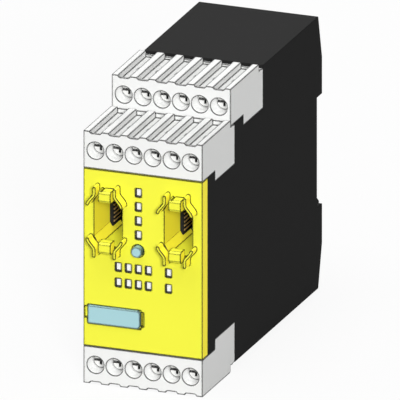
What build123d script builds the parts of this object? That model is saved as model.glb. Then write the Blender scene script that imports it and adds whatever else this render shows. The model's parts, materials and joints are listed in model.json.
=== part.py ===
from build123d import *
import os

os.makedirs("parts", exist_ok=True)

# Modular safety controller for a 35 mm mounting rail.
# Frame: the origin is the centre of the face that seats on the rail, +X is right as seen from
# the front, +Y runs from the front towards the rail, +Z is up. Depths below are counted back
# from the front cover's face, and heights up from the lower terminal block's ribs.

# Overall
module_width = 45.0
housing_back_depth = 120.0
rail_notch_depth = 5.1
rail_seat_depth = housing_back_depth - rail_notch_depth
rail_centre_height = 56.0
housing_top_height = 104.6
seam_gap = 0.05  # between mouldings that close against each other
fit_gap = 0.15  # around a piece that slides into its seat by hand
overcut = 1.0  # how far a cut or the root of a rib runs past the face that it meets
near = 0.01  # how close an edge lies to the place that it is chosen by

# Terminal blocks, alike but for their troughs' ends; sizes count from the front and the rib tops
terminal_count = 6
terminal_pitch = 7.2
block_depth = 32.3
block_front_height = 13.85
block_rear_height = 17.7
block_step_depth = 12.6
rib_width = 2.8
rib_length = 28.2
rib_end_drop = 2.6
rib_end_groove = 0.8
rib_end_bevel = 0.5
tail_drop = 2.35
tail_end_drop = 2.9
tail_slope_start = 29.6
trough_drop = 2.4
trough_lip_drop = 0.7
trough_lip_thickness = 0.9
trough_lip_corner = 0.5
trough_end_thickness = 0.5
trough_end_drop = 1.3
upper_front_trough_end_drop = 0.5
upper_rear_front_depth = 28.4
upper_rear_rib_rise = 1.7
upper_front_rib_drop = 11.65

# Terminal screw, M3, and its rising clamp
screw_drop = 7.1
access_bore_radius = 3.12
screw_head_depth = 5.6
screw_head_radius = 2.9
screw_head_thickness = 1.8
screw_head_edge = 0.25
screw_radius = 1.5
screw_slot_width = 1.0
screw_slot_depth = 1.0
screw_cross_width = 0.85
screw_cross_length = 3.4
screw_cross_depth = 1.25
screw_tip_chamfer = 0.4
running_gap = 0.08
partition_thickness = 1.0
clamp_travel = 2.5
clamp_gap = 0.2
cage_width = 5.4
cage_height = 5.0
cage_front_thickness = 1.2
cage_rear_thickness = 0.8
cage_side_thickness = 0.8
cage_corner = 0.4
bar_to_cage_gap = 0.3
wire_gap = 2.6
chamber_side_gap = 0.2
chamber_end_gap = 0.4
wire_entry_width = 2.1
wire_entry_offset = 0.86

# Contact bars, bent from strip
bar_thickness = 1.0
bar_width = 2.8
bar_top_drop = 4.9
bar_run_drop = 11.0
bar_bend_radius = 0.4
bar_slot_gap = 0.2
bar_pin_offset = 28.8
bar_pin_overlap = 4.2

# Snap feet under each terminal block
foot_pitch_count = 2
foot_depth = 20.0
foot_thickness = 1.6
foot_width = 2.6
foot_barb = 0.5
foot_barb_length = 1.4

# Housing
housing_wall = 2.0
housing_side_wall = 1.8
housing_bottom_height = 2.5
back_slope_depth = 3.8
lower_slope_height = 18.5
upper_slope_drop = 16.3
seat_bottom_height = 36.9
seat_top_height = 74.5
seat_wall = 2.5
nib_reach = 2.0
nib_height = 35.1
nib_slot_offset = 0.3
nib_slot_top = 34.4
lower_lip_height = 33.2
profile_corner = 0.3

# Mounting rail, 35 mm with flanges 1 mm thick, and the two fixed hooks above it
rail_height = 35.0
rail_thickness = 1.0
rail_gap = 0.2
hook_spacing = 26.0
hook_width = 8.0
hook_grip = 2.3
hook_thickness = 2.5
hook_chamfer = 1.2
relief_depth = 1.4
relief_gap = 0.5

# Sprung rail latch below the rail
latch_width = 14.0
latch_ear_width = 16.4
latch_ear_thickness = 1.2
latch_thickness = 3.0
latch_gap = 0.2
latch_floor_gap = 0.1
latch_bottom_height = 12.0
latch_travel = 3.2
latch_grip = 2.5
latch_lead_in = 1.5
latch_slot_bottom = 8.0
latch_window_width = 5.2
latch_window_bottom = 19.0
latch_window_top = 33.0
latch_stop_gap = 0.1
latch_tool_slot_width = 6.0
latch_tool_slot_height = 3.0
latch_tool_slot_depth = 1.6
latch_tool_slot_rise = 1.4
peg_width = 4.4
peg_height = 3.0
spring_radius = 1.25
spring_wire_radius = 0.25
spring_turns = 7
spring_end_gap = 0.05

# Front cover
cover_wrap_depth = 5.3
cover_edge_gap = 0.2
cover_plate = 2.0
cover_wall = 1.8
skirt_thickness = 1.2
skirt_depth = 9.3
skirt_low_height = 25.0
skirt_high_height = 70.0
snap_low_height = 35.0
snap_high_height = 61.0
snap_length = 6.0
snap_proud = 0.5
snap_depth = 7.3
snap_width = 1.0

# Interface bays in the cover, with their clip arms and hooks
bay_spacing = 26.6
bay_centre = 0.13
bay_drop = 12.55
bay_half_width = 5.3
bay_half_height = 9.75
bay_corner_width = 1.9
bay_corner_height = 3.2
bay_wall = 1.2
bay_well_depth = 24.0
clip_reach = 4.2
arm_thickness = 1.15
arm_inner = 3.85
arm_outer = 6.05
arm_tip = 6.4
arm_start_rise = 12.7
arm_bend_rise = 10.1
arm_flare_rise = 7.5
arm_tip_rise = 6.6
arm_bend_radius = 1.5
hook_block_width = 4.7
hook_block_low = 7.4
hook_block_high = 11.8
hook_block_reach = 4.0
hook_block_bevel = 0.8
hook_groove_offset = 1.3
hook_groove_width = 0.5
hook_groove_depth = 0.4

# Status windows and their light guides
window_width = 2.3
window_height = 3.1
window_recess = 1.6
window_gap = 0.1
window_column_x = -1.76
window_column_drop = 1.0
window_column_pitch = 5.3
window_column_count = 4
window_grid_pitch = 3.8
window_grid_steps = (-2, -1, 0, 1, 3)
window_grid_drop = 6.95
window_grid_spacing = 5.85
guide_plate_margin = 0.4
guide_plate_thickness = 1.2
guide_plate_gap = 0.05
guide_led_gap = 0.2
guide_post_width = 1.4
guide_post_height = 1.8

# Reset button
button_x = -1.9
button_drop = 5.9
button_radius = 2.0
button_proud = 1.9
button_edge = 0.25
button_hole_gap = 0.3
button_flange_radius = 2.8
button_flange_gap = 0.05
button_flange_thickness = 1.0
button_stem_radius = 1.5
button_sleeve_wall = 0.6
button_sleeve_depth = 7.0

# Label plate
label_left = -20.85
label_width = 20.0
label_low = 22.65
label_high = 29.5
label_corner = 0.9
label_thickness = 1.2
label_seat_depth = 0.6
label_edge = 0.25
label_gap = 0.1
label_peg_radius = 1.0
label_peg_spacing = 14.0
label_peg_end_gap = 0.4
left_notch_width = 1.4
left_notch_low = 24.7
left_notch_high = 28.8
right_notch_width = 1.15
right_notch_low = 23.5
right_notch_high = 28.9
label_slot_width = 0.45

# Interface sockets at the back of the bays
socket_front_depth = 15.4
socket_wall = 1.3
socket_half_height = 7.85
socket_base_thickness = 2.0
blade_pitch = 1.5
blade_count = 9
blade_recess = 0.3
blade_width = 0.6
blade_thickness = 0.3

# Circuit boards
board_thickness = 1.6
board_edge_gap = 0.25
rear_board_half_width = 18.8
ledge_thickness = 1.5
ledge_overlap = 1.3
ledge_low_height = 30.0
ledge_high_height = 66.0
header_width = 30.0
header_height = 4.5
header_spread = 34.5

# Parts on the boards
led_width = 1.0
led_height = 1.6
led_thickness = 1.1
switch_size = 6.0
switch_thickness = 4.3
plunger_radius = 1.7
plunger_proud = 1.0
plunger_hidden = 1.0
plunger_gap = 0.1
button_travel = 0.5
relay_width = 12.6
relay_height = 28.0
relay_depth = 25.5
relay_spacing = 17.0
relay_centre_height = 53.5
relay_edge = 0.5
capacitor_radius = 5.0
capacitor_depth = 20.0
capacitor_spacing = 12.0
capacitor_height = 28.0
capacitor_edge = 0.8

# Places worked out from the sizes above
half_width = module_width / 2
cavity_half_width = half_width - housing_side_wall
housing_end_depth = housing_back_depth - back_slope_depth
upper_slope_height = housing_top_height - upper_slope_drop
upper_rear_rib_height = housing_top_height + upper_rear_rib_rise
upper_front_rib_height = upper_rear_rib_height - upper_front_rib_drop
nib_depth = rail_seat_depth + nib_reach
nib_slot_depth = rail_seat_depth + nib_slot_offset
block_low_seat = block_front_height
block_low_rear_seat = block_rear_height
upper_seat = upper_front_rib_height - block_front_height
upper_rear_seat = upper_front_rib_height - block_rear_height
second_seat = upper_rear_rib_height - block_front_height
second_rear_seat = upper_rear_rib_height - block_rear_height
block_back = block_depth + seam_gap
second_step = upper_rear_front_depth + block_step_depth
second_back = upper_rear_front_depth + block_back
front_board_back = bar_pin_offset
front_board_front = front_board_back - board_thickness
rear_board_back = upper_rear_front_depth + bar_pin_offset
rear_board_front = rear_board_back - board_thickness
board_low = block_low_rear_seat + housing_wall + board_edge_gap
board_high = upper_rear_seat - housing_wall - board_edge_gap
partition_front = screw_head_depth + screw_head_thickness + seam_gap
chamber_front = partition_front + partition_thickness
cage_front = chamber_front + clamp_gap + clamp_travel
bar_front = cage_front + cage_front_thickness + bar_to_cage_gap
bar_back = bar_front + bar_thickness
cage_rear = bar_back + wire_gap + cage_rear_thickness
chamber_back = cage_rear + chamber_end_gap
chamber_width = cage_width + 2 * chamber_side_gap
chamber_drop = screw_drop - cage_height / 2 - chamber_end_gap
rail_low = rail_centre_height - rail_height / 2
rail_high = rail_centre_height + rail_height / 2
lip_front = rail_seat_depth + rail_thickness + rail_gap
latch_floor = rail_seat_depth + latch_floor_gap
latch_front = latch_floor + latch_gap
latch_back = latch_front + latch_thickness
latch_top = rail_low + latch_grip
terminal_xs = [(i - (terminal_count - 1) / 2) * terminal_pitch for i in range(terminal_count)]
foot_xs = [-foot_pitch_count * terminal_pitch, foot_pitch_count * terminal_pitch]
bay_xs = [bay_centre - bay_spacing / 2, bay_centre + bay_spacing / 2]
bay_height = board_high - bay_drop
window_column_high = board_high - window_column_drop
window_column_low = window_column_high - (window_column_count - 1) * window_column_pitch
button_height = window_column_low - button_drop
window_grid_high = button_height - window_grid_drop
window_grid_low = window_grid_high - window_grid_spacing
grid_xs = [window_column_x + step * window_grid_pitch for step in window_grid_steps]
column_heights = [window_column_low + i * window_column_pitch for i in range(window_column_count)]
column_windows = [(window_column_x, height) for height in column_heights]
grid_windows = [(x, height) for height in (window_grid_low, window_grid_high) for x in grid_xs]


def at_y(depth):
    return depth - rail_seat_depth


def at_z(height):
    return height - rail_centre_height


def side_points(*points):
    """Points of a side profile, given as depths and heights, on the YZ plane."""
    return [(at_y(depth), at_z(height)) for depth, height in points]


def front_plane(depth):
    """A plane at a depth, seen from the front: X right, Z up, normal forwards."""
    return Plane.XZ.offset(-at_y(depth))


def box_at(x_limits, depth_limits, height_limits, mode=Mode.ADD):
    """A box between its limits in X, in depth and in height."""
    middle = (
        sum(x_limits) / 2,
        at_y(sum(depth_limits) / 2),
        at_z(sum(height_limits) / 2),
    )
    with Locations(middle):
        Box(
            x_limits[1] - x_limits[0],
            depth_limits[1] - depth_limits[0],
            abs(height_limits[1] - height_limits[0]),
            mode=mode,
        )


def around(centre, width):
    """Limits of a width about its centre."""
    return (centre - width / 2, centre + width / 2)


def bay_outline(grow):
    """The corners of a bay's opening, which has long bevelled corners, grown by a margin."""
    wide = bay_half_width + grow
    tall = bay_half_height + grow
    return [
        (wide, tall - bay_corner_height),
        (wide - bay_corner_width, tall),
        (bay_corner_width - wide, tall),
        (-wide, tall - bay_corner_height),
        (-wide, bay_corner_height - tall),
        (bay_corner_width - wide, -tall),
        (wide - bay_corner_width, -tall),
        (wide, bay_corner_height - tall),
    ]


def finish(part, label):
    part.label = label
    export_step(part, f"parts/{label}.step")


# Housing: one moulding, open at the front, with stepped seats for the terminal blocks
with BuildPart() as housing:
    with BuildSketch(Plane.YZ):
        with BuildLine():
            Polyline(
                *side_points(
                    (cover_wrap_depth, block_low_seat),
                    (block_step_depth, block_low_seat),
                    (block_step_depth, block_low_rear_seat),
                    (block_back, block_low_rear_seat),
                    (block_back, housing_bottom_height),
                    (housing_end_depth, housing_bottom_height),
                    (housing_back_depth, lower_slope_height),
                    (housing_back_depth, lower_lip_height),
                    (nib_slot_depth, lower_lip_height),
                    (nib_slot_depth, nib_slot_top),
                    (nib_depth, nib_slot_top),
                    (nib_depth, nib_height),
                    (rail_seat_depth, seat_bottom_height),
                    (rail_seat_depth, seat_top_height),
                    (housing_back_depth, seat_top_height),
                    (housing_back_depth, upper_slope_height),
                    (housing_end_depth, housing_top_height),
                    (second_back, housing_top_height),
                    (second_back, second_rear_seat),
                    (second_step, second_rear_seat),
                    (second_step, second_seat),
                    (block_back, second_seat),
                    (block_back, upper_rear_seat),
                    (block_step_depth, upper_rear_seat),
                    (block_step_depth, upper_seat),
                    (cover_wrap_depth, upper_seat),
                ),
                close=True,
            )
        make_face()
    extrude(amount=half_width, both=True)
    long_edges = (
        housing.edges()
        .filter_by(Axis.X)
        .filter_by(lambda e: e.center().Z > at_z(housing_top_height) - near
                   or e.center().Z < at_z(housing_bottom_height) + near
                   or e.center().Y > at_y(housing_back_depth) - near)
    )
    fillet(long_edges, profile_corner)

    with BuildSketch(Plane.YZ):
        with BuildLine():
            Polyline(
                *side_points(
                    (cover_wrap_depth - overcut, block_low_seat + housing_wall),
                    (block_step_depth - housing_wall, block_low_seat + housing_wall),
                    (block_step_depth - housing_wall, block_low_rear_seat + housing_wall),
                    (block_back + housing_wall, block_low_rear_seat + housing_wall),
                    (block_back + housing_wall, housing_bottom_height + housing_wall),
                    (rail_seat_depth - seat_wall, housing_bottom_height + housing_wall),
                    (rail_seat_depth - seat_wall, seat_top_height + housing_wall),
                    (housing_back_depth - housing_wall, seat_top_height + housing_wall),
                    (housing_back_depth - housing_wall, upper_slope_height),
                    (housing_end_depth - housing_wall, housing_top_height - housing_wall),
                    (second_back + housing_wall, housing_top_height - housing_wall),
                    (second_back + housing_wall, second_rear_seat - housing_wall),
                    (second_step - housing_wall, second_rear_seat - housing_wall),
                    (second_step - housing_wall, second_seat - housing_wall),
                    (block_back + housing_wall, second_seat - housing_wall),
                    (block_back + housing_wall, upper_rear_seat - housing_wall),
                    (block_step_depth - housing_wall, upper_rear_seat - housing_wall),
                    (block_step_depth - housing_wall, upper_seat - housing_wall),
                    (cover_wrap_depth - overcut, upper_seat - housing_wall),
                ),
                close=True,
            )
        make_face()
    extrude(amount=cavity_half_width, both=True, mode=Mode.SUBTRACT)

    # Ledges that the two circuit boards rest against
    for side in (-1, 1):
        front_ledge = sorted((side * (half_width - overcut), side * (cavity_half_width - ledge_overlap)))
        box_at(
            front_ledge,
            (front_board_back, front_board_back + ledge_thickness),
            (ledge_low_height, ledge_high_height),
        )
        rear_ledge = sorted((
            side * (half_width - overcut),
            side * (rear_board_half_width - ledge_overlap),
        ))
        box_at(
            rear_ledge,
            (rear_board_back, rear_board_back + ledge_thickness),
            (ledge_low_height, ledge_high_height),
        )

    # Slots in the shelves for the contact bars' pins, and holes for the blocks' snap feet
    pin_limits = (bar_pin_offset - bar_slot_gap, bar_pin_offset + bar_thickness + bar_slot_gap)
    foot_limits = (foot_depth - bar_slot_gap, foot_depth + foot_thickness + foot_barb + bar_slot_gap)
    shelves = [
        (0, block_low_rear_seat, block_low_rear_seat + housing_wall),
        (0, upper_rear_seat - housing_wall, upper_rear_seat),
        (upper_rear_front_depth, second_rear_seat - housing_wall, second_rear_seat),
    ]
    for shelf_depth, shelf_low, shelf_high in shelves:
        for x in terminal_xs:
            box_at(
                around(x, bar_width + 2 * bar_slot_gap),
                (shelf_depth + pin_limits[0], shelf_depth + pin_limits[1]),
                (shelf_low - overcut, shelf_high + overcut),
                mode=Mode.SUBTRACT,
            )
        for x in foot_xs:
            box_at(
                around(x, foot_width + 2 * bar_slot_gap),
                (shelf_depth + foot_limits[0], shelf_depth + foot_limits[1]),
                (shelf_low - overcut, shelf_high + overcut),
                mode=Mode.SUBTRACT,
            )

    # Grooves that the cover's snap beads engage
    for side in (-1, 1):
        groove = sorted((side * (cavity_half_width - overcut), side * (cavity_half_width + snap_proud)))
        for height in (snap_low_height, snap_high_height):
            box_at(
                groove,
                (snap_depth - fit_gap, snap_depth + snap_width + fit_gap),
                around(height, snap_length + 2 * fit_gap),
                mode=Mode.SUBTRACT,
            )

    # Fixed hooks over the rail's upper flange, each above a relief in the seat
    hook_low = rail_high - hook_grip
    for x in (-hook_spacing / 2, hook_spacing / 2):
        box_at(
            around(x, hook_width + 2 * relief_gap),
            (rail_seat_depth - relief_depth, rail_seat_depth + overcut),
            (hook_low - relief_gap, seat_top_height),
            mode=Mode.SUBTRACT,
        )
        box_at(
            around(x, hook_width),
            (lip_front, lip_front + hook_thickness),
            (hook_low, seat_top_height + housing_wall / 2),
        )
    hook_edges = (
        housing.edges()
        .filter_by(Axis.X)
        .filter_by(lambda e: abs(e.center().Z - at_z(hook_low)) < near)
        .filter_by(lambda e: abs(e.center().Y - at_y(lip_front + hook_thickness)) < near)
    )
    chamfer(hook_edges, hook_chamfer)

    # Undercut slot that the rail latch slides in, open at its top, and its relief in the seat
    slot_limits = (latch_slot_bottom, seat_bottom_height + overcut)
    ear_back = latch_front + latch_ear_thickness + latch_gap
    box_at(
        around(0, latch_ear_width + 2 * latch_gap),
        (latch_floor, ear_back),
        slot_limits,
        mode=Mode.SUBTRACT,
    )
    box_at(
        around(0, latch_width + 2 * latch_gap),
        (latch_floor, housing_back_depth + overcut),
        slot_limits,
        mode=Mode.SUBTRACT,
    )
    box_at(
        around(0, latch_width + 2 * relief_gap),
        (rail_seat_depth - relief_depth, rail_seat_depth + overcut),
        (seat_bottom_height - relief_gap, latch_top + relief_gap),
        mode=Mode.SUBTRACT,
    )

    # Peg that stops the latch and carries its spring
    peg_low = latch_window_bottom + latch_stop_gap
    box_at(
        around(0, peg_width),
        (latch_floor - overcut, latch_back),
        (peg_low, peg_low + peg_height),
    )

    # Cores that keep the thick lower lip even
    for side in (-1, 1):
        core = sorted((
            side * (cavity_half_width - housing_side_wall),
            side * (latch_ear_width / 2 + latch_gap + housing_wall),
        ))
        box_at(
            core,
            (rail_seat_depth - seat_wall - overcut, housing_back_depth - housing_wall),
            (lower_slope_height, lower_lip_height - housing_wall),
            mode=Mode.SUBTRACT,
        )
finish(housing.part, "housing")


# Front cover: face, side wrap, bays with clip arms and hooks, and the inner skirt that snaps in
cover_low = block_low_seat + cover_edge_gap
cover_high = upper_seat - cover_edge_gap
with BuildPart() as front_cover:
    box_at((-half_width, half_width), (0, cover_wrap_depth), (cover_low, cover_high))
    box_at(
        (cover_wall - half_width, half_width - cover_wall),
        (cover_plate, cover_wrap_depth + overcut),
        (cover_low + cover_wall, cover_high - cover_wall),
        mode=Mode.SUBTRACT,
    )

    # Skirt on both sides, with snap beads
    skirt_face = cavity_half_width - fit_gap
    for side in (-1, 1):
        base = sorted((side * (skirt_face - skirt_thickness), side * (half_width - overcut)))
        box_at(base, (cover_plate - overcut, cover_wrap_depth), (skirt_low_height, skirt_high_height))
        tongue = sorted((side * (skirt_face - skirt_thickness), side * skirt_face))
        box_at(tongue, (cover_plate, skirt_depth), (skirt_low_height, skirt_high_height))
        bead = sorted((side * (skirt_face - skirt_thickness), side * (skirt_face + snap_proud)))
        for height in (snap_low_height, snap_high_height):
            box_at(bead, (snap_depth, snap_depth + snap_width), around(height, snap_length))

    # Wells of the two bays
    with BuildSketch(front_plane(0)):
        with Locations(*[(x, at_z(bay_height)) for x in bay_xs]):
            Polygon(*bay_outline(bay_wall), align=None)
    extrude(amount=-bay_well_depth)
    with BuildSketch(front_plane(0)):
        with Locations(*[(x, at_z(bay_height)) for x in bay_xs]):
            Polygon(*bay_outline(0), align=None)
    extrude(amount=-bay_well_depth, mode=Mode.SUBTRACT)

    # Clip arms: thin strips that stand out from the face and flare away from the hook
    for x in bay_xs:
        for side in (-1, 1):
            for rise in (-1, 1):
                arm_points = [
                    (x + side * arm_inner, at_z(bay_height + rise * arm_start_rise)),
                    (x + side * arm_inner, at_z(bay_height + rise * arm_bend_rise)),
                    (x + side * arm_outer, at_z(bay_height + rise * arm_flare_rise)),
                    (x + side * arm_tip, at_z(bay_height + rise * arm_tip_rise)),
                ]
                with BuildSketch(front_plane(0)):
                    with BuildLine():
                        FilletPolyline(*arm_points, radius=arm_bend_radius)
                    trace(line_width=arm_thickness)
                    with Locations(arm_points[0], arm_points[-1]):
                        Circle(arm_thickness / 2)
                extrude(amount=clip_reach)

    # Hook blocks between the arms, bevelled at the front, each with a small groove along it
    for x in bay_xs:
        for rise in (-1, 1):
            low = bay_height + rise * hook_block_low
            high = bay_height + rise * hook_block_high
            with BuildSketch(Plane.YZ.offset(x - hook_block_width / 2)):
                with BuildLine():
                    Polyline(
                        *side_points(
                            (0, low),
                            (hook_block_bevel - hook_block_reach, low),
                            (-hook_block_reach, low + rise * hook_block_bevel),
                            (-hook_block_reach, high - rise * hook_block_bevel),
                            (hook_block_bevel - hook_block_reach, high),
                            (0, high),
                        ),
                        close=True,
                    )
                make_face()
            extrude(amount=hook_block_width)
            box_at(
                around(x - hook_groove_offset, hook_groove_width),
                (-hook_block_reach - overcut, 0),
                sorted((high - rise * hook_groove_depth, high + rise * overcut)),
                mode=Mode.SUBTRACT,
            )

    # Window holes
    with BuildSketch(front_plane(0)):
        with Locations(*[(x, at_z(height)) for x, height in column_windows + grid_windows]):
            Rectangle(window_width, window_height)
    extrude(amount=-cover_plate, mode=Mode.SUBTRACT)

    # Button hole, and the sleeve behind it that guides the button's flange
    with BuildSketch(front_plane(cover_plate)):
        with Locations((button_x, at_z(button_height))):
            Circle(button_flange_radius + button_hole_gap + button_sleeve_wall)
            Circle(button_flange_radius + button_hole_gap, mode=Mode.SUBTRACT)
    extrude(amount=cover_plate - button_sleeve_depth)
    with BuildSketch(front_plane(0)):
        with Locations((button_x, at_z(button_height))):
            Circle(button_radius + button_hole_gap)
    extrude(amount=-cover_plate, mode=Mode.SUBTRACT)

    # Seat of the label plate, its peg holes, and the notches and slot to lift it out by
    box_at(
        (label_left - label_gap, label_left + label_width + label_gap),
        (-overcut, label_seat_depth),
        (label_low - label_gap, label_high + label_gap),
        mode=Mode.SUBTRACT,
    )
    box_at(
        (label_left - left_notch_width, label_left),
        (-overcut, label_seat_depth),
        (left_notch_low, left_notch_high),
        mode=Mode.SUBTRACT,
    )
    box_at(
        (label_left + label_width, label_left + label_width + right_notch_width),
        (-overcut, label_seat_depth),
        (right_notch_low, right_notch_high),
        mode=Mode.SUBTRACT,
    )
    box_at(
        (label_left + label_width, label_left + label_width + label_slot_width),
        (-overcut, cover_plate + overcut),
        (right_notch_low, right_notch_high),
        mode=Mode.SUBTRACT,
    )
    label_x = label_left + label_width / 2
    label_height = (label_low + label_high) / 2
    label_pegs = [(label_x + side * label_peg_spacing / 2, at_z(label_height)) for side in (-1, 1)]
    with BuildSketch(front_plane(0)):
        with Locations(*label_pegs):
            Circle(label_peg_radius + label_gap)
    extrude(amount=-cover_plate, mode=Mode.SUBTRACT)
finish(front_cover.part, "front_cover")


# Label plate: a blank plate with bevelled right corners and two pegs
with BuildPart() as label_plate:
    with BuildSketch(front_plane(label_seat_depth)):
        with Locations((label_x, at_z(label_height))):
            Rectangle(label_width, label_high - label_low)
    extrude(amount=label_thickness)
    upright_edges = label_plate.edges().filter_by(Axis.Y).group_by(Axis.X)[-1]
    chamfer(upright_edges, label_corner)
    chamfer(label_plate.faces().sort_by(Axis.Y)[0].edges(), label_edge)
    with BuildSketch(front_plane(label_seat_depth)):
        with Locations(*label_pegs):
            Circle(label_peg_radius)
    extrude(amount=label_seat_depth - cover_plate + label_peg_end_gap)
finish(label_plate.part, "label_plate")


# Reset button: cap, flange that keeps it in, and stem that reaches the switch
switch_front = front_board_front - switch_thickness
plunger_front = switch_front - plunger_proud
flange_front = cover_plate + button_flange_gap
with BuildPart() as reset_button:
    with BuildSketch(front_plane(-button_proud)):
        with Locations((button_x, at_z(button_height))):
            Circle(button_radius)
    extrude(amount=-(button_proud + flange_front))
    fillet(reset_button.faces().sort_by(Axis.Y)[0].edges(), button_edge)
    with BuildSketch(front_plane(flange_front)):
        with Locations((button_x, at_z(button_height))):
            Circle(button_flange_radius)
    extrude(amount=-button_flange_thickness)
    with BuildSketch(front_plane(flange_front)):
        with Locations((button_x, at_z(button_height))):
            Circle(button_stem_radius)
    extrude(amount=flange_front - plunger_front)
finish(reset_button.part, "reset_button")


# Switch on the front board, and the plunger that the button pushes into it
with BuildPart() as tactile_switch:
    box_at(
        around(button_x, switch_size),
        (switch_front, front_board_front),
        around(button_height, switch_size),
    )
    with BuildSketch(front_plane(switch_front)):
        with Locations((button_x, at_z(button_height))):
            Circle(plunger_radius + plunger_gap)
    extrude(amount=-(plunger_hidden + button_travel + plunger_gap), mode=Mode.SUBTRACT)
finish(tactile_switch.part, "tactile_switch")

with BuildPart() as switch_plunger:
    with BuildSketch(front_plane(plunger_front)):
        with Locations((button_x, at_z(button_height))):
            Circle(plunger_radius)
    extrude(amount=-(plunger_proud + plunger_hidden))
finish(switch_plunger.part, "switch_plunger")


# Circuit boards
with BuildPart() as front_board:
    box_at(
        (board_edge_gap - cavity_half_width, cavity_half_width - board_edge_gap),
        (front_board_front, front_board_back),
        (board_low, board_high),
    )
finish(front_board.part, "front_board")

with BuildPart() as rear_board:
    box_at(
        (-rear_board_half_width, rear_board_half_width),
        (rear_board_front, rear_board_back),
        (board_low, board_high),
    )
finish(rear_board.part, "rear_board")

board_middle = (board_low + board_high) / 2
with BuildPart() as board_headers:
    for rise in (-1, 1):
        box_at(
            around(0, header_width),
            (front_board_back, rear_board_front),
            around(board_middle + rise * header_spread / 2, header_height),
        )
finish(board_headers.part, "board_headers")


# Status lamps, one behind each window
led_front = front_board_front - led_thickness
with BuildPart() as status_leds:
    for x, height in column_windows + grid_windows:
        box_at(around(x, led_width), (led_front, front_board_front), around(height, led_height))
finish(status_leds.part, "status_leds")


# Light guides: one moulding for the column of windows and one for the grid below it
guide_plate_front = cover_plate + guide_plate_gap
guide_plate_back = guide_plate_front + guide_plate_thickness
guide_width = window_width - 2 * window_gap
guide_height = window_height - 2 * window_gap
with BuildPart() as light_guides:
    for windows in (column_windows, grid_windows):
        xs = [x for x, height in windows]
        heights = [height for x, height in windows]
        margin_x = guide_width / 2 + guide_plate_margin
        margin_z = guide_height / 2 + guide_plate_margin
        box_at(
            (min(xs) - margin_x, max(xs) + margin_x),
            (guide_plate_front, guide_plate_back),
            (min(heights) - margin_z, max(heights) + margin_z),
        )
        for x, height in windows:
            box_at(
                around(x, guide_width),
                (window_recess, guide_plate_front),
                around(height, guide_height),
            )
            box_at(
                around(x, guide_post_width),
                (guide_plate_back, led_front - guide_led_gap),
                around(height, guide_post_height),
            )
finish(light_guides.part, "light_guides")


# Interface sockets: a base on the board with a cheek on either side, and their contact blades
socket_base_front = front_board_front - socket_base_thickness
blade_wall = bay_half_width - fit_gap - socket_wall


def interface_socket(x, label):
    with BuildPart() as socket:
        with BuildSketch(front_plane(socket_base_front)):
            with Locations((x, at_z(bay_height))):
                Polygon(*bay_outline(-fit_gap))
        extrude(amount=-socket_base_thickness)
        with BuildSketch(front_plane(socket_front_depth)):
            with Locations((x, at_z(bay_height))):
                Polygon(*bay_outline(-fit_gap))
                Rectangle(2 * bay_half_width, 2 * socket_half_height, mode=Mode.INTERSECT)
                Rectangle(2 * blade_wall, 2 * bay_half_height, mode=Mode.SUBTRACT)
        extrude(amount=socket_front_depth - socket_base_front)
    finish(socket.part, label)


interface_socket(bay_xs[0], "left_interface_socket")
interface_socket(bay_xs[1], "right_interface_socket")

blade_heights = [bay_height + (i - (blade_count - 1) / 2) * blade_pitch for i in range(blade_count)]
with BuildPart() as interface_contacts:
    for x in bay_xs:
        for side in (-1, 1):
            limits = sorted((x + side * blade_wall, x + side * (blade_wall - blade_thickness)))
            for height in blade_heights:
                box_at(
                    limits,
                    (socket_front_depth + blade_recess, socket_base_front),
                    around(height, blade_width),
                )
finish(interface_contacts.part, "interface_contacts")


# Relays and capacitors on the back of the rear board
with BuildPart() as safety_relays:
    for side in (-1, 1):
        box_at(
            around(side * relay_spacing / 2, relay_width),
            (rear_board_back, rear_board_back + relay_depth),
            around(relay_centre_height, relay_height),
        )
    fillet(safety_relays.edges().filter_by(Axis.Y), relay_edge)
finish(safety_relays.part, "safety_relays")

with BuildPart() as buffer_capacitors:
    with BuildSketch(front_plane(rear_board_back)):
        with Locations(*[(i * capacitor_spacing, at_z(capacitor_height)) for i in (-1, 0, 1)]):
            Circle(capacitor_radius)
    extrude(amount=-capacitor_depth)
    capacitor_rims = buffer_capacitors.edges().filter_by(GeomType.CIRCLE).group_by(Axis.Y)[-1]
    fillet(capacitor_rims, capacitor_edge)
finish(buffer_capacitors.part, "buffer_capacitors")


# Rail latch: a T-shaped slider whose lip holds the rail's lower flange
with BuildPart() as rail_latch:
    box_at(
        around(0, latch_width),
        (latch_front, latch_back),
        (latch_bottom_height, latch_top),
    )
    lead_edge = rail_latch.edges().filter_by(Axis.X).group_by(Axis.Z)[-1].sort_by(Axis.Y)[-1]
    chamfer(lead_edge, latch_lead_in)
    box_at(
        around(0, latch_width + overcut),
        (latch_front - overcut, lip_front),
        (rail_low - relief_gap, latch_top + overcut),
        mode=Mode.SUBTRACT,
    )
    box_at(
        around(0, latch_ear_width),
        (latch_front, latch_front + latch_ear_thickness),
        (latch_bottom_height, lower_lip_height - latch_travel / 2),
    )
    box_at(
        around(0, latch_window_width),
        (latch_front - overcut, latch_back + overcut),
        (latch_window_bottom, latch_window_top),
        mode=Mode.SUBTRACT,
    )
    tool_slot_low = latch_bottom_height + latch_tool_slot_rise
    box_at(
        around(0, latch_tool_slot_width),
        (latch_back - latch_tool_slot_depth, latch_back + overcut),
        (tool_slot_low, tool_slot_low + latch_tool_slot_height),
        mode=Mode.SUBTRACT,
    )
finish(rail_latch.part, "rail_latch")


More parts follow.
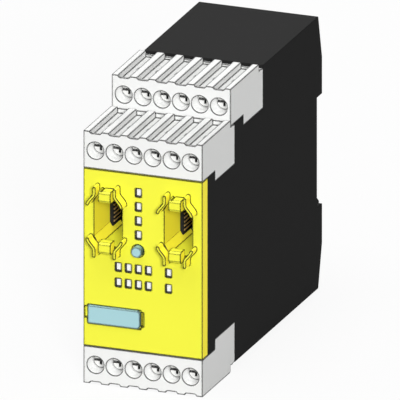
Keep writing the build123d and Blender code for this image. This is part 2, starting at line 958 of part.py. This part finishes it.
# Coil spring between the housing's peg and the top of the latch's window
spring_low = peg_low + peg_height + spring_end_gap + spring_wire_radius
spring_high = latch_window_top - spring_end_gap - spring_wire_radius
spring_length = spring_high - spring_low
spring_centre = (0, at_y((latch_front + latch_back) / 2), at_z(spring_low))
with BuildPart() as latch_spring:
    with BuildLine():
        coil = Helix(spring_length / spring_turns, spring_length, spring_radius, center=spring_centre)
    with BuildSketch(Plane(coil @ 0, z_dir=coil % 0)):
        Circle(spring_wire_radius)
    sweep()
finish(latch_spring.part, "latch_spring")


def terminal_block(label, front, ribs, inward, end_drop):
    """One block: front is its face's depth, ribs the height of its ribs, inward 1 or -1 in Z.

    end_drop is how far the troughs' end wall stays below the ribs.
    """

    def height(drop):
        return ribs + inward * drop

    def cut(x_limits, depths, drops):
        box_at(
            x_limits,
            (front + depths[0], front + depths[1]),
            sorted((height(drops[0]), height(drops[1]))),
            mode=Mode.SUBTRACT,
        )

    outline = [
        (0, 0),
        (rib_length - rib_end_bevel, 0),
        (rib_length, rib_end_bevel),
        (rib_length, rib_end_drop),
        (rib_length + rib_end_groove, rib_end_drop),
        (tail_slope_start, tail_drop),
        (block_depth, tail_end_drop),
        (block_depth, block_rear_height),
        (block_step_depth + seam_gap, block_rear_height),
        (block_step_depth + seam_gap, block_front_height),
        (0, block_front_height),
    ]
    trough_width = terminal_pitch - rib_width
    trough_back = rib_length - trough_end_thickness
    with BuildPart() as block:
        with BuildSketch(Plane.YZ):
            with BuildLine():
                Polyline(
                    *side_points(*[(front + d, height(drop)) for d, drop in outline]),
                    close=True,
                )
            make_face()
        extrude(amount=half_width, both=True)

        # Troughs between the ribs, lower behind the front lip than at it
        for x in terminal_xs:
            cut(around(x, trough_width), (trough_lip_thickness, trough_back), (-overcut, trough_drop))
            cut(
                around(x, trough_width),
                (trough_back, rib_length + overcut),
                (-overcut, end_drop),
            )
            lip_half = trough_width / 2
            with BuildSketch(front_plane(front)):
                with Locations((x, at_z(ribs))):
                    Polygon(
                        (-lip_half, -inward * overcut),
                        (-lip_half, inward * (trough_lip_drop - trough_lip_corner)),
                        (trough_lip_corner - lip_half, inward * trough_lip_drop),
                        (lip_half - trough_lip_corner, inward * trough_lip_drop),
                        (lip_half, inward * (trough_lip_drop - trough_lip_corner)),
                        (lip_half, -inward * overcut),
                    )
            extrude(amount=-trough_lip_thickness, mode=Mode.SUBTRACT)

        # Screwdriver bores, screw holes, clamp chambers, wire entries and slots for the bars
        bore_points = [(x, at_z(height(screw_drop))) for x in terminal_xs]
        with BuildSketch(front_plane(front)):
            with Locations(*bore_points):
                Circle(access_bore_radius)
        extrude(amount=-partition_front, mode=Mode.SUBTRACT)
        with BuildSketch(front_plane(front)):
            with Locations(*bore_points):
                Circle(screw_radius + running_gap)
        extrude(amount=-chamber_front - overcut, mode=Mode.SUBTRACT)
        for x in terminal_xs:
            cut(
                around(x, chamber_width),
                (chamber_front, chamber_back),
                (chamber_drop, block_rear_height + overcut),
            )
            cut(
                around(x - inward * wire_entry_offset, wire_entry_width),
                (bar_back, bar_back + wire_gap),
                (trough_drop - overcut, chamber_drop + overcut),
            )
            cut(
                around(x, bar_width + 2 * bar_slot_gap),
                (chamber_back - overcut, bar_pin_offset + bar_thickness + bar_slot_gap),
                (bar_run_drop - bar_slot_gap, block_rear_height + overcut),
            )

        # Snap feet that go through the housing's shelf
        shelf_under = block_rear_height + housing_wall + seam_gap
        foot = [
            (foot_depth, block_rear_height - overcut),
            (foot_depth + foot_thickness, block_rear_height - overcut),
            (foot_depth + foot_thickness, shelf_under),
            (foot_depth + foot_thickness + foot_barb, shelf_under),
            (foot_depth + foot_thickness, shelf_under + foot_barb_length),
            (foot_depth, shelf_under + foot_barb_length),
        ]
        for x in foot_xs:
            with BuildSketch(Plane.YZ.offset(x - foot_width / 2)):
                with BuildLine():
                    Polyline(*side_points(*[(front + d, height(drop)) for d, drop in foot]), close=True)
                make_face()
            extrude(amount=foot_width)
    finish(block.part, label)


def contact_bars(label, front, ribs, inward, pin_end):
    """The six bars of a block: up into the clamp, back along the block, and on to the board."""

    def height(drop):
        return ribs + inward * drop

    outline = [
        (bar_front, height(bar_top_drop)),
        (bar_back, height(bar_top_drop)),
        (bar_back, height(bar_run_drop)),
        (bar_pin_offset + bar_thickness, height(bar_run_drop)),
        (bar_pin_offset + bar_thickness, pin_end),
        (bar_pin_offset, pin_end),
        (bar_pin_offset, height(bar_run_drop + bar_thickness)),
        (bar_front, height(bar_run_drop + bar_thickness)),
    ]
    with BuildPart() as bars:
        for x in terminal_xs:
            with BuildSketch(Plane.YZ.offset(x - bar_width / 2)) as profile:
                with BuildLine():
                    Polyline(*side_points(*[(front + d, h) for d, h in outline]), close=True)
                make_face()
                fillet(profile.vertices(), bar_bend_radius)
            extrude(amount=bar_width)
    finish(bars.part, label)


def terminal_screw(label, x, front, axis_height):
    centre = (x, at_z(axis_height))
    head_front = front + screw_head_depth
    head_back = head_front + screw_head_thickness
    tip = front + bar_front - seam_gap
    with BuildPart() as screw:
        with BuildSketch(front_plane(head_front)):
            with Locations(centre):
                Circle(screw_head_radius)
        extrude(amount=-screw_head_thickness)
        chamfer(screw.faces().sort_by(Axis.Y)[0].edges(), screw_head_edge)
        with BuildSketch(front_plane(head_back)):
            with Locations(centre):
                Circle(screw_radius)
        extrude(amount=head_back - tip)
        chamfer(screw.faces().sort_by(Axis.Y)[-1].edges(), screw_tip_chamfer)
        box_at(
            around(x, 2 * screw_head_radius + overcut),
            (head_front - overcut, head_front + screw_slot_depth),
            around(axis_height, screw_slot_width),
            mode=Mode.SUBTRACT,
        )
        box_at(
            around(x, screw_cross_length),
            (head_front - overcut, head_front + screw_cross_depth),
            around(axis_height, screw_cross_width),
            mode=Mode.SUBTRACT,
        )
        box_at(
            around(x, screw_cross_width),
            (head_front - overcut, head_front + screw_cross_depth),
            around(axis_height, screw_cross_length),
            mode=Mode.SUBTRACT,
        )
    finish(screw.part, label)


def clamp_cage(label, x, front, axis_height):
    """The ring that the screw draws forwards, shown open: its front plate is the screw's nut."""
    cage_depth = cage_rear - cage_front
    inner_depth = cage_depth - cage_front_thickness - cage_rear_thickness
    inner_middle = cage_front + cage_front_thickness + inner_depth / 2
    with BuildPart() as cage:
        with BuildSketch(Plane.XY.offset(at_z(axis_height - cage_height / 2))) as ring:
            with Locations((x, at_y(front + (cage_front + cage_rear) / 2))):
                Rectangle(cage_width, cage_depth)
            fillet(ring.vertices(), cage_corner)
            with Locations((x, at_y(front + inner_middle))):
                Rectangle(cage_width - 2 * cage_side_thickness, inner_depth, mode=Mode.SUBTRACT)
        extrude(amount=cage_height)
        with BuildSketch(front_plane(front + cage_front)):
            with Locations((x, at_z(axis_height))):
                Circle(screw_radius + running_gap)
        extrude(amount=-cage_front_thickness, mode=Mode.SUBTRACT)
    finish(cage.part, label)


# The three terminal blocks, each with its contact bars, screws and clamp cages
block_places = [
    ("upper_front", 0, upper_front_rib_height, -1, board_high - bar_pin_overlap),
    ("upper_rear", upper_rear_front_depth, upper_rear_rib_height, -1, board_high - bar_pin_overlap),
    ("lower", 0, 0, 1, board_low + bar_pin_overlap),
]
trough_end_drops = [upper_front_trough_end_drop, trough_end_drop, trough_end_drop]
for (place, front, ribs, inward, pin_end), end_drop in zip(block_places, trough_end_drops):
    terminal_block(f"{place}_terminal_block", front, ribs, inward, end_drop)
    contact_bars(f"{place}_contact_bars", front, ribs, inward, pin_end)
    screw_height = ribs + inward * screw_drop
    for number, x in enumerate(terminal_xs, start=1):
        terminal_screw(f"{place}_screw_{number}", x, front, screw_height)
        clamp_cage(f"{place}_clamp_{number}", x, front, screw_height)
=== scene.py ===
"""Looks for a modular safety controller: moulded plastics, plated metal, a pale studio."""

import json
import math

import bmesh
import bpy
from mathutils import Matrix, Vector


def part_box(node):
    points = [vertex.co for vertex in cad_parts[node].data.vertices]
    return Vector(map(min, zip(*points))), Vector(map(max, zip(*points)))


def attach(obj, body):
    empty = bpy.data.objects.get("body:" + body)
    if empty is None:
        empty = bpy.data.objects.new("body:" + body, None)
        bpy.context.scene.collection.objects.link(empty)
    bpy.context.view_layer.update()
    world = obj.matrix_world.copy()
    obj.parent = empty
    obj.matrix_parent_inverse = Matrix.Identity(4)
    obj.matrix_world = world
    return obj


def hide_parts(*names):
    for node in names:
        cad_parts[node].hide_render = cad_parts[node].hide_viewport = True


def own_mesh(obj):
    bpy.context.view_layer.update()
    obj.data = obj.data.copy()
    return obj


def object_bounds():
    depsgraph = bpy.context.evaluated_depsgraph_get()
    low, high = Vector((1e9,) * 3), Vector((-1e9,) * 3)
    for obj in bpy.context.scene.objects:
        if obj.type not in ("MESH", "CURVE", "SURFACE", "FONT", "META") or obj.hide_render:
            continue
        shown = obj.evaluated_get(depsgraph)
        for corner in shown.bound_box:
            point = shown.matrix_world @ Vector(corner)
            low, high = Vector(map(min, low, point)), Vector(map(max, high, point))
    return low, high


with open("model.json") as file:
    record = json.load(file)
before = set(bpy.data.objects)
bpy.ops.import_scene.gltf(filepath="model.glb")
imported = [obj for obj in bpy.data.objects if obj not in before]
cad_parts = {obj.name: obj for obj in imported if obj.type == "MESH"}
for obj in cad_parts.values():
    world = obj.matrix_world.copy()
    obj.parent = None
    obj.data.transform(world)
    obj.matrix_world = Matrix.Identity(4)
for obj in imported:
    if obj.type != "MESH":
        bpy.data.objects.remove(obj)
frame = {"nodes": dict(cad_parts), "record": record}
cad_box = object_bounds()
nodes = frame["nodes"]

MM = 0.001
WHITE = (1, 1, 1, 1)


# Steps that the materials share

def new_material(name):
    material = bpy.data.materials.new(name)
    material.use_nodes = True
    tree = material.node_tree
    shader = tree.nodes["Principled BSDF"]
    return material, tree, shader


def add_node(tree, kind, **inputs):
    node = tree.nodes.new(kind)
    for key, value in inputs.items():
        node.inputs[key].default_value = value
    return node


def fill(tree, place, value):
    """Links an input to a socket, or sets it to a number, a vector or a colour."""
    if isinstance(value, bpy.types.NodeSocket):
        tree.links.new(value, place)
    else:
        place.default_value = value


def math_step(tree, operation, first, second=0.0):
    """One arithmetic node; each input is a socket or a number."""
    step = tree.nodes.new("ShaderNodeMath")
    step.operation = operation
    fill(tree, step.inputs[0], first)
    fill(tree, step.inputs[1], second)
    return step.outputs["Value"]


def shade(colour, share=1.0):
    """A colour at a share of its brightness, with the fourth number that a socket takes."""
    return [channel * share for channel in colour] + [1]


def blend(tree, factor, first, second):
    """The first colour where the factor is 0 and the second where it is 1."""
    mix = tree.nodes.new("ShaderNodeMix")
    mix.data_type = "RGBA"
    fill(tree, mix.inputs["A"], first)
    fill(tree, mix.inputs["B"], second)
    tree.links.new(factor, mix.inputs["Factor"])
    return mix.outputs["Result"]


def map_range(tree, value, start=0.0, end=1.0, low=0.0, high=1.0):
    """A value's way from start to end, told as a number from low to high."""
    ramp = tree.nodes.new("ShaderNodeMapRange")
    ramp.inputs["From Min"].default_value = start
    ramp.inputs["From Max"].default_value = end
    ramp.inputs["To Min"].default_value = low
    ramp.inputs["To Max"].default_value = high
    tree.links.new(value, ramp.inputs["Value"])
    return ramp.outputs["Result"]


def object_noise(tree, scale, detail=4.0):
    """A noise in the object's own space, so a grain stays on the piece when it moves."""
    place = tree.nodes.new("ShaderNodeTexCoord")
    noise = add_node(tree, "ShaderNodeTexNoise", Scale=scale, Detail=detail)
    tree.links.new(place.outputs["Object"], noise.inputs["Vector"])
    return noise.outputs["Fac"]


def facing(tree):
    """How squarely a surface faces along each of the object's own axes, as a vector."""
    place = tree.nodes.new("ShaderNodeTexCoord")
    size = tree.nodes.new("ShaderNodeVectorMath")
    size.operation = "ABSOLUTE"
    tree.links.new(place.outputs["Normal"], size.inputs[0])
    return size.outputs["Vector"]


# Painted shade along edges: an edge is darkened where the cosine between the rounded and the true
# normal falls from start to lean

EDGE_START = 0.99
EDGE_LEAN = 0.962
EDGE_REACH = 0.9 * MM
EDGE_RADIUS = 0.2 * MM
EDGE_SAMPLES = 8


def rounded_normal(tree, radius):
    rounded = add_node(tree, "ShaderNodeBevel", Radius=radius)
    rounded.samples = EDGE_SAMPLES
    return rounded.outputs["Normal"]


def edge_shade_mask(tree):
    """Where edge shade is painted: 1 beside an edge of the shape and 0 away from it, from how a
    rounded normal leans.
    """
    surface = tree.nodes.new("ShaderNodeNewGeometry")
    lean = tree.nodes.new("ShaderNodeVectorMath")
    lean.operation = "DOT_PRODUCT"
    tree.links.new(rounded_normal(tree, EDGE_REACH), lean.inputs[0])
    tree.links.new(surface.outputs["Normal"], lean.inputs[1])
    return map_range(tree, lean.outputs["Value"], start=EDGE_START, end=EDGE_LEAN)


# Materials

TONE_SCALE = 60.0
GRAIN_SCALE = 9000.0
GRAIN_DETAIL = 2.0
GRAIN_STRENGTH = 0.02
GRAIN_DEPTH = 0.1 * MM


def moulded(name, colour, roughness, mottle=0.03, edge_shade=0.85, specular=0.3, bounce=1.0,
            side_shade=None, glow=(0, 0, 0)):
    """Moulded plastic: a fine grain, a slight unevenness of tone, and painted shade along the edges.

    bounce dims the light that it throws on other surfaces; the side colour is painted shade on the
    faces turned to the side, and glow is painted light: an emission by axis faced, seen only by the
    camera.
    """
    material, tree, shader = new_material(name)
    uneven = blend(tree, object_noise(tree, TONE_SCALE), shade(colour, 1 - mottle), shade(colour))
    axes = tree.nodes.new("ShaderNodeSeparateXYZ")
    tree.links.new(facing(tree), axes.inputs["Vector"])
    # Painted shade: faces turned to the side take a darker, shaded copy of the colour
    side_shaded = blend(tree, axes.outputs["X"], uneven, shade(side_shade or colour))
    # Painted shade: the colour darkens beside every edge, convex or hollow
    edge_shaded = blend(tree, edge_shade_mask(tree), side_shaded, shade(colour, 1 - edge_shade))
    path = tree.nodes.new("ShaderNodeLightPath")
    passed = blend(tree, path.outputs["Is Diffuse Ray"], edge_shaded, shade(colour, bounce))
    tree.links.new(passed, shader.inputs["Base Color"])

    # Painted light: an emission in the surface's own shaded colour, set by the axis faced, that only
    # the camera sees
    painted_light = tree.nodes.new("ShaderNodeVectorMath")
    painted_light.operation = "DOT_PRODUCT"
    painted_light.inputs[1].default_value = glow
    tree.links.new(facing(tree), painted_light.inputs[0])
    seen = math_step(tree, "MULTIPLY", painted_light.outputs["Value"], path.outputs["Is Camera Ray"])
    tree.links.new(seen, shader.inputs["Emission Strength"])
    tree.links.new(edge_shaded, shader.inputs["Emission Color"])

    bump = add_node(tree, "ShaderNodeBump", Strength=GRAIN_STRENGTH, Distance=GRAIN_DEPTH)
    tree.links.new(object_noise(tree, GRAIN_SCALE, GRAIN_DETAIL), bump.inputs["Height"])
    tree.links.new(rounded_normal(tree, EDGE_RADIUS), bump.inputs["Normal"])
    tree.links.new(bump.outputs["Normal"], shader.inputs["Normal"])
    shader.inputs["Roughness"].default_value = roughness
    shader.inputs["Specular IOR Level"].default_value = specular
    return material


TERMINAL_PITCH = 7.2 * MM
TERMINAL_REACH = 3 * TERMINAL_PITCH
BORE_HEIGHTS = (-48.9 * MM, 31.55 * MM, 43.2 * MM)
BORE_REACH = 3.15 * MM
BORE_PAINTED_LIGHT = 0.2


def painted_bore_light(material):
    """Painted light in the screwdriver bores: an emission that brightens their walls."""
    tree = material.node_tree
    shader = tree.nodes["Principled BSDF"]
    place = tree.nodes.new("ShaderNodeTexCoord")
    parts = tree.nodes.new("ShaderNodeSeparateXYZ")
    tree.links.new(place.outputs["Object"], parts.inputs["Vector"])
    x, z = parts.outputs["X"], parts.outputs["Z"]
    share = math_step(tree, "FRACT", math_step(tree, "DIVIDE", x, TERMINAL_PITCH))
    along = math_step(tree, "MULTIPLY", math_step(tree, "SUBTRACT", share, 0.5), TERMINAL_PITCH)
    away = [
        math_step(tree, "ABSOLUTE", math_step(tree, "SUBTRACT", z, height))
        for height in BORE_HEIGHTS
    ]
    across = math_step(tree, "MINIMUM", math_step(tree, "MINIMUM", away[0], away[1]), away[2])
    squares = [math_step(tree, "MULTIPLY", side, side) for side in (along, across)]
    radius = math_step(tree, "SQRT", math_step(tree, "ADD", *squares))
    in_bore = math_step(tree, "LESS_THAN", radius, BORE_REACH)
    in_row = math_step(tree, "LESS_THAN", math_step(tree, "ABSOLUTE", x), TERMINAL_REACH)
    glow = math_step(tree, "MULTIPLY", math_step(tree, "MULTIPLY", in_bore, in_row), BORE_PAINTED_LIGHT)
    strength = shader.inputs["Emission Strength"]
    tree.links.new(math_step(tree, "MAXIMUM", glow, strength.links[0].from_socket), strength)


BRUSH_STRETCH = (400.0, 40.0, 400.0)
BRUSH_SCALE = 6.0
BRUSH_DETAIL = 5.0
BRUSH_SMOOTH = 0.8
BRUSH_ROUGH = 1.3
RECESS_DISTANCE = 1.2 * MM
RECESS_SAMPLES = 8
RECESS_DARK = 0.45
RECESS_OPEN = 0.8
RECESS_SHADE_TONE = 0.06


def plated(name, colour, roughness, metallic=1.0):
    """Plated steel or strip: brushed along one axis, with painted shade in slots and recesses."""
    material, tree, shader = new_material(name)
    place = tree.nodes.new("ShaderNodeTexCoord")
    scale = add_node(tree, "ShaderNodeMapping", Scale=BRUSH_STRETCH)
    tree.links.new(place.outputs["Object"], scale.inputs["Vector"])
    noise = add_node(tree, "ShaderNodeTexNoise", Scale=BRUSH_SCALE, Detail=BRUSH_DETAIL)
    tree.links.new(scale.outputs["Vector"], noise.inputs["Vector"])
    brushed = map_range(tree, noise.outputs["Fac"], low=roughness * BRUSH_SMOOTH,
                        high=roughness * BRUSH_ROUGH)
    tree.links.new(brushed, shader.inputs["Roughness"])
    # Painted shade: the colour darkens where ambient occlusion finds a slot or recess close by
    recess_shade = add_node(tree, "ShaderNodeAmbientOcclusion", Distance=RECESS_DISTANCE, Color=WHITE)
    recess_shade.samples = RECESS_SAMPLES
    unshaded_share = map_range(tree, recess_shade.outputs["AO"], start=RECESS_DARK, end=RECESS_OPEN)
    tone = blend(tree, unshaded_share, shade(colour, RECESS_SHADE_TONE), shade(colour))
    tree.links.new(tone, shader.inputs["Base Color"])
    shader.inputs["Metallic"].default_value = metallic
    return material


GUIDE_SCALE = 400.0
GUIDE_DULL = 0.94
GUIDE_ROUGHNESS = 0.25
GUIDE_MILK = 0.2
GUIDE_MILK_DEPTH = 1.0 * MM
GUIDE_PAINTED_LIGHT = 0.35


def clear_plastic(name, colour):
    """Clear polycarbonate, slightly milky, with painted light: a little glow that brightens it in
    its recess.
    """
    material, tree, shader = new_material(name)
    tone = blend(tree, object_noise(tree, GUIDE_SCALE), shade(colour, GUIDE_DULL), shade(colour))
    tree.links.new(tone, shader.inputs["Base Color"])
    shader.inputs["Roughness"].default_value = GUIDE_ROUGHNESS
    shader.inputs["Subsurface Weight"].default_value = GUIDE_MILK
    shader.inputs["Subsurface Radius"].default_value = [GUIDE_MILK_DEPTH] * 3
    # Painted light: a glow that brightens the guide's end in its window recess
    shader.inputs["Emission Color"].default_value = shade(colour)
    shader.inputs["Emission Strength"].default_value = GUIDE_PAINTED_LIGHT
    return material


TRACK_SCALE = 180.0
TRACK_COLOURS = {
    "Color1": (0.012, 0.09, 0.035, 1),
    "Color2": (0.016, 0.12, 0.045, 1),
    "Mortar": (0.03, 0.2, 0.08, 1),
}
BOARD_TURN = (math.radians(90), 0, 0)
BOARD_ROUGHNESS = 0.35


def board_laminate(name):
    """Green solder mask over glass laminate, with tracks as a faint change of tone."""
    material, tree, shader = new_material(name)
    place = tree.nodes.new("ShaderNodeTexCoord")
    tracks = add_node(tree, "ShaderNodeTexBrick", Scale=TRACK_SCALE, **TRACK_COLOURS)
    turn = add_node(tree, "ShaderNodeMapping", Rotation=BOARD_TURN)
    tree.links.new(place.outputs["Object"], turn.inputs["Vector"])
    tree.links.new(turn.outputs["Vector"], tracks.inputs["Vector"])
    tree.links.new(tracks.outputs["Color"], shader.inputs["Base Color"])
    shader.inputs["Roughness"].default_value = BOARD_ROUGHNESS
    return material


# In these looks the edge numbers set the painted shade along edges, the side colours are painted
# shade, and the glow numbers are painted light
materials = {
    "black_plastic": moulded("black_moulding", (0.022, 0.022, 0.022), 0.65, edge_shade=0.3,
                             specular=0.02, mottle=0.1),
    "yellow_plastic": moulded("yellow_moulding", (0.93, 0.92, 0.055), 0.5, edge_shade=0.95,
                              bounce=0.8, side_shade=(0.93, 0.8, 0.04), glow=(0.25, 0.04, 0.32)),
    "white_plastic": moulded("white_moulding", (0.93, 0.935, 0.925), 0.5, edge_shade=0.93,
                             bounce=0.6, glow=(0, 0, 0.06)),
    "pale_blue_plastic": moulded("pale_blue_moulding", (0.42, 0.69, 0.74), 0.45, edge_shade=0.95,
                                 side_shade=(0.04, 0.08, 0.09)),
    "dark_plastic": moulded("dark_moulding", (0.012, 0.012, 0.014), 0.5),
    "guide_plastic": clear_plastic("clear_guide", (0.93, 0.94, 0.93)),
    "lamp_plastic": clear_plastic("clear_lamp", (0.85, 0.85, 0.78)),
    "board_laminate": board_laminate("solder_mask"),
    "socket_plastic": moulded("socket_moulding", (0.024, 0.024, 0.036), 0.5, edge_shade=0.3,
                              specular=0.2),
    "blade_bronze": plated("bronze_blade", (1.0, 0.66, 0.32), 0.45, metallic=0.15),
    "relay_plastic": moulded("relay_case", (0.03, 0.035, 0.045), 0.4),
    "capacitor_can": plated("capacitor_sleeve", (0.1, 0.11, 0.14), 0.4),
    "latch_plastic": moulded("latch_moulding", (0.03, 0.03, 0.03), 0.5, edge_shade=0.3,
                             specular=0.1),
    "spring_steel": plated("spring_wire", (0.55, 0.55, 0.56), 0.25),
    "screw_steel": plated("zinc_screw", (0.85, 0.85, 0.84), 0.45, metallic=0.5),
    "clamp_steel": plated("zinc_clamp", (0.62, 0.6, 0.52), 0.35),
    "contact_copper": plated("tinned_strip", (0.6, 0.42, 0.24), 0.3),
}
painted_bore_light(materials["white_plastic"])

for entry in frame["record"]["subparts"]:
    node = nodes[entry["node"]]
    node.data.materials.clear()
    node.data.materials.append(materials[entry["material_slot"]])


def new_piece(name, mesh, slot):
    """An object that only the looks have, made of one material."""
    piece = bpy.data.objects.new(name, mesh)
    bpy.context.scene.collection.objects.link(piece)
    mesh.materials.append(materials[slot])
    return piece


# The latch's coil spring: a round wire coil that stands in for the CAD spring, which is hidden

SPRING_WIRE = 0.25 * MM
SPRING_TURNS = 7
STEPS_PER_TURN = 24
WIRE_SIDES = 8


def coil(name, low, high, radius, wire, turns):
    """A round wire coil about a vertical axis, its middle line running from low to high."""
    mesh = bpy.data.meshes.new(name)
    shape = bmesh.new()
    rows = []
    centre = Vector((low.x, low.y, 0))
    rise = high.z - low.z
    count = turns * STEPS_PER_TURN
    for i in range(count + 1):
        angle = 2 * math.pi * i / STEPS_PER_TURN
        outward = Vector((math.cos(angle), math.sin(angle), 0))
        point = centre + outward * radius + Vector((0, 0, low.z + rise * i / count))
        row = []
        for k in range(WIRE_SIDES):
            turn = 2 * math.pi * k / WIRE_SIDES
            offset = outward * math.cos(turn) * wire + Vector((0, 0, math.sin(turn) * wire))
            row.append(shape.verts.new(point + offset))
        rows.append(row)
    for first, second in zip(rows, rows[1:]):
        for k in range(WIRE_SIDES):
            after = (k + 1) % WIRE_SIDES
            shape.faces.new((first[k], first[after], second[after], second[k]))
    shape.faces.new(list(reversed(rows[0])))
    shape.faces.new(rows[-1])
    bmesh.ops.recalc_face_normals(shape, faces=shape.faces)
    shape.to_mesh(mesh)
    shape.free()
    mesh.shade_smooth()
    return new_piece(name, mesh, "spring_steel")


spring_low, spring_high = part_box("latch_spring")
spring_middle = (spring_low + spring_high) / 2
spring_radius = (spring_high.x - spring_low.x) / 2 - SPRING_WIRE
spring_ends = (
    Vector((spring_middle.x, spring_middle.y, spring_low.z + SPRING_WIRE)),
    Vector((spring_middle.x, spring_middle.y, spring_high.z - SPRING_WIRE)),
)
spring = coil("latch_coil", *spring_ends, spring_radius, SPRING_WIRE, SPRING_TURNS)
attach(spring, "module")
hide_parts("latch_spring")
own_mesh(spring)


# Thin black frames inside the window holes, in front of the light guides, as painted shade on the
# hole walls; sizes in millimetres

SEAT_DEPTH = 114.9
RAIL_HEIGHT = 56.0
WINDOW_SIZE = (2.3, 3.1)
SHADE_FRAME_DEPTHS = (0.02, 1.55)
SHADE_FRAME_GAP = 0.01
SHADE_FRAME_THICKNESS = 0.07
COLUMN_X = -1.76
COLUMN_HEIGHTS = (57.8, 63.1, 68.4, 73.7)
GRID_SPACING = 3.8
GRID_STEPS = (-2, -1, 0, 1, 3)
GRID_HEIGHTS = (39.1, 44.95)
WINDOW_CORNERS = ((-1, -1), (1, -1), (1, 1), (-1, 1))


def window_shade_frames():
    shape = bmesh.new()
    places = [(COLUMN_X, height) for height in COLUMN_HEIGHTS]
    places += [
        (COLUMN_X + step * GRID_SPACING, height) for height in GRID_HEIGHTS for step in GRID_STEPS
    ]
    outer = SHADE_FRAME_GAP
    inner = SHADE_FRAME_GAP + SHADE_FRAME_THICKNESS
    front, rear = SHADE_FRAME_DEPTHS
    for x, height in places:
        rings = []
        for inset, depth in ((outer, front), (outer, rear), (inner, rear), (inner, front)):
            wide = WINDOW_SIZE[0] / 2 - inset
            tall = WINDOW_SIZE[1] / 2 - inset
            rings.append([
                shape.verts.new((
                    (x + dx * wide) * MM,
                    (depth - SEAT_DEPTH) * MM,
                    (height - RAIL_HEIGHT + dz * tall) * MM,
                ))
                for dx, dz in WINDOW_CORNERS
            ])
        for first, second in zip(rings, rings[1:] + rings[:1]):
            for k in range(len(WINDOW_CORNERS)):
                after = (k + 1) % len(WINDOW_CORNERS)
                shape.faces.new((first[k], first[after], second[after], second[k]))
    bmesh.ops.recalc_face_normals(shape, faces=shape.faces)
    mesh = bpy.data.meshes.new("window_shade_frames")
    shape.to_mesh(mesh)
    shape.free()
    # A dark piece that stands for the shade in each window hole
    piece = new_piece("window_shade_frames", mesh, "dark_plastic")
    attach(piece, "module")


window_shade_frames()


# Studio: pale floor, white surround, soft light from the front, from above and from behind

FLOOR_HALF = 3.0
FLOOR_DROP = 0.2 * MM
FLOOR_GLOW = 0.9
FLOOR_SEEN = 0.9
FLOOR_BOUNCE = 0.35
FLOOR_ROUGHNESS = 0.9
SUNS = (
    ("front", 2.3, (0.45, -0.82, 0.35), 14),
    ("overhead", 1.12, (-0.1, -0.25, 0.96), 30),
    ("back", 0.45, (-0.3, 0.9, 0.35), 40),
)
AMBIENT_STRENGTH = 0.28


def mix_shaders(tree, factor, first, second, output):
    """Joins two shaders by a factor and gives them to an output's surface."""
    mix = tree.nodes.new("ShaderNodeMixShader")
    tree.links.new(factor, mix.inputs[0])
    tree.links.new(first, mix.inputs[1])
    tree.links.new(second, mix.inputs[2])
    tree.links.new(mix.outputs["Shader"], output.inputs["Surface"])


def pale_floor():
    low = cad_box[0]
    height = low[2] - FLOOR_DROP
    corners = [
        (dx * FLOOR_HALF, dy * FLOOR_HALF, height) for dx, dy in ((-1, -1), (1, -1), (1, 1), (-1, 1))
    ]
    mesh = bpy.data.meshes.new("floor")
    mesh.from_pydata(corners, [], [(0, 1, 2, 3)])
    floor = bpy.data.objects.new("floor", mesh)
    bpy.context.scene.collection.objects.link(floor)
    material, tree, shader = new_material("pale_floor")
    shader.inputs["Roughness"].default_value = FLOOR_ROUGHNESS
    shader.inputs["Specular IOR Level"].default_value = 0.0
    glow = add_node(tree, "ShaderNodeEmission", Strength=1.0, Color=WHITE)
    seen = tree.nodes.new("ShaderNodeLightPath").outputs["Is Camera Ray"]
    paint = blend(tree, seen, shade([FLOOR_BOUNCE] * 3), shade([FLOOR_SEEN] * 3))
    tree.links.new(paint, shader.inputs["Base Color"])
    share = math_step(tree, "MULTIPLY", seen, FLOOR_GLOW)
    output = tree.nodes["Material Output"]
    mix_shaders(tree, share, shader.outputs["BSDF"], glow.outputs["Emission"], output)
    mesh.materials.append(material)


def suns():
    for name, strength, direction, spread in SUNS:
        sun = bpy.data.lights.new(name, "SUN")
        sun.energy = strength
        sun.angle = math.radians(spread)
        lamp = bpy.data.objects.new(name, sun)
        lamp.rotation_euler = Vector(direction).to_track_quat("Z", "Y").to_euler()
        bpy.context.scene.collection.objects.link(lamp)


def surround():
    """White to the eye, in gloss and through clear pieces; a weak even light otherwise."""
    world = bpy.data.worlds.new("surround")
    world.use_nodes = True
    bpy.context.scene.world = world
    tree = world.node_tree
    tree.nodes.clear()
    light = add_node(tree, "ShaderNodeBackground", Strength=AMBIENT_STRENGTH, Color=WHITE)
    white = add_node(tree, "ShaderNodeBackground", Strength=1.0, Color=WHITE)
    path = tree.nodes.new("ShaderNodeLightPath")
    seen = path.outputs["Is Camera Ray"]
    for name in ("Is Glossy Ray", "Is Transmission Ray"):
        seen = math_step(tree, "MAXIMUM", seen, path.outputs[name])
    output = tree.nodes.new("ShaderNodeOutputWorld")
    mix_shaders(tree, seen, light.outputs["Background"], white.outputs["Background"], output)


pale_floor()
suns()
surround()


# Camera: parallel projection, from the right, the front and above

CAMERA_AZIMUTH = math.radians(20.67)
CAMERA_ELEVATION = math.radians(19.48)
CAMERA_SCALE = 0.14165
CAMERA_DISTANCE = 0.8
AIM = Vector((0.02158, -0.1149, 0.01798))

back = Vector((
    math.sin(CAMERA_AZIMUTH) * math.cos(CAMERA_ELEVATION),
    -math.cos(CAMERA_AZIMUTH) * math.cos(CAMERA_ELEVATION),
    math.sin(CAMERA_ELEVATION),
))
camera_data = bpy.data.cameras.new("camera")
camera_data.type = "ORTHO"
camera_data.ortho_scale = CAMERA_SCALE
camera = bpy.data.objects.new("camera", camera_data)
camera.location = AIM + back * CAMERA_DISTANCE
camera.rotation_euler = back.to_track_quat("Z", "Y").to_euler()
bpy.context.scene.collection.objects.link(camera)
bpy.context.scene.camera = camera
bpy.context.scene.view_settings.view_transform = "Standard"
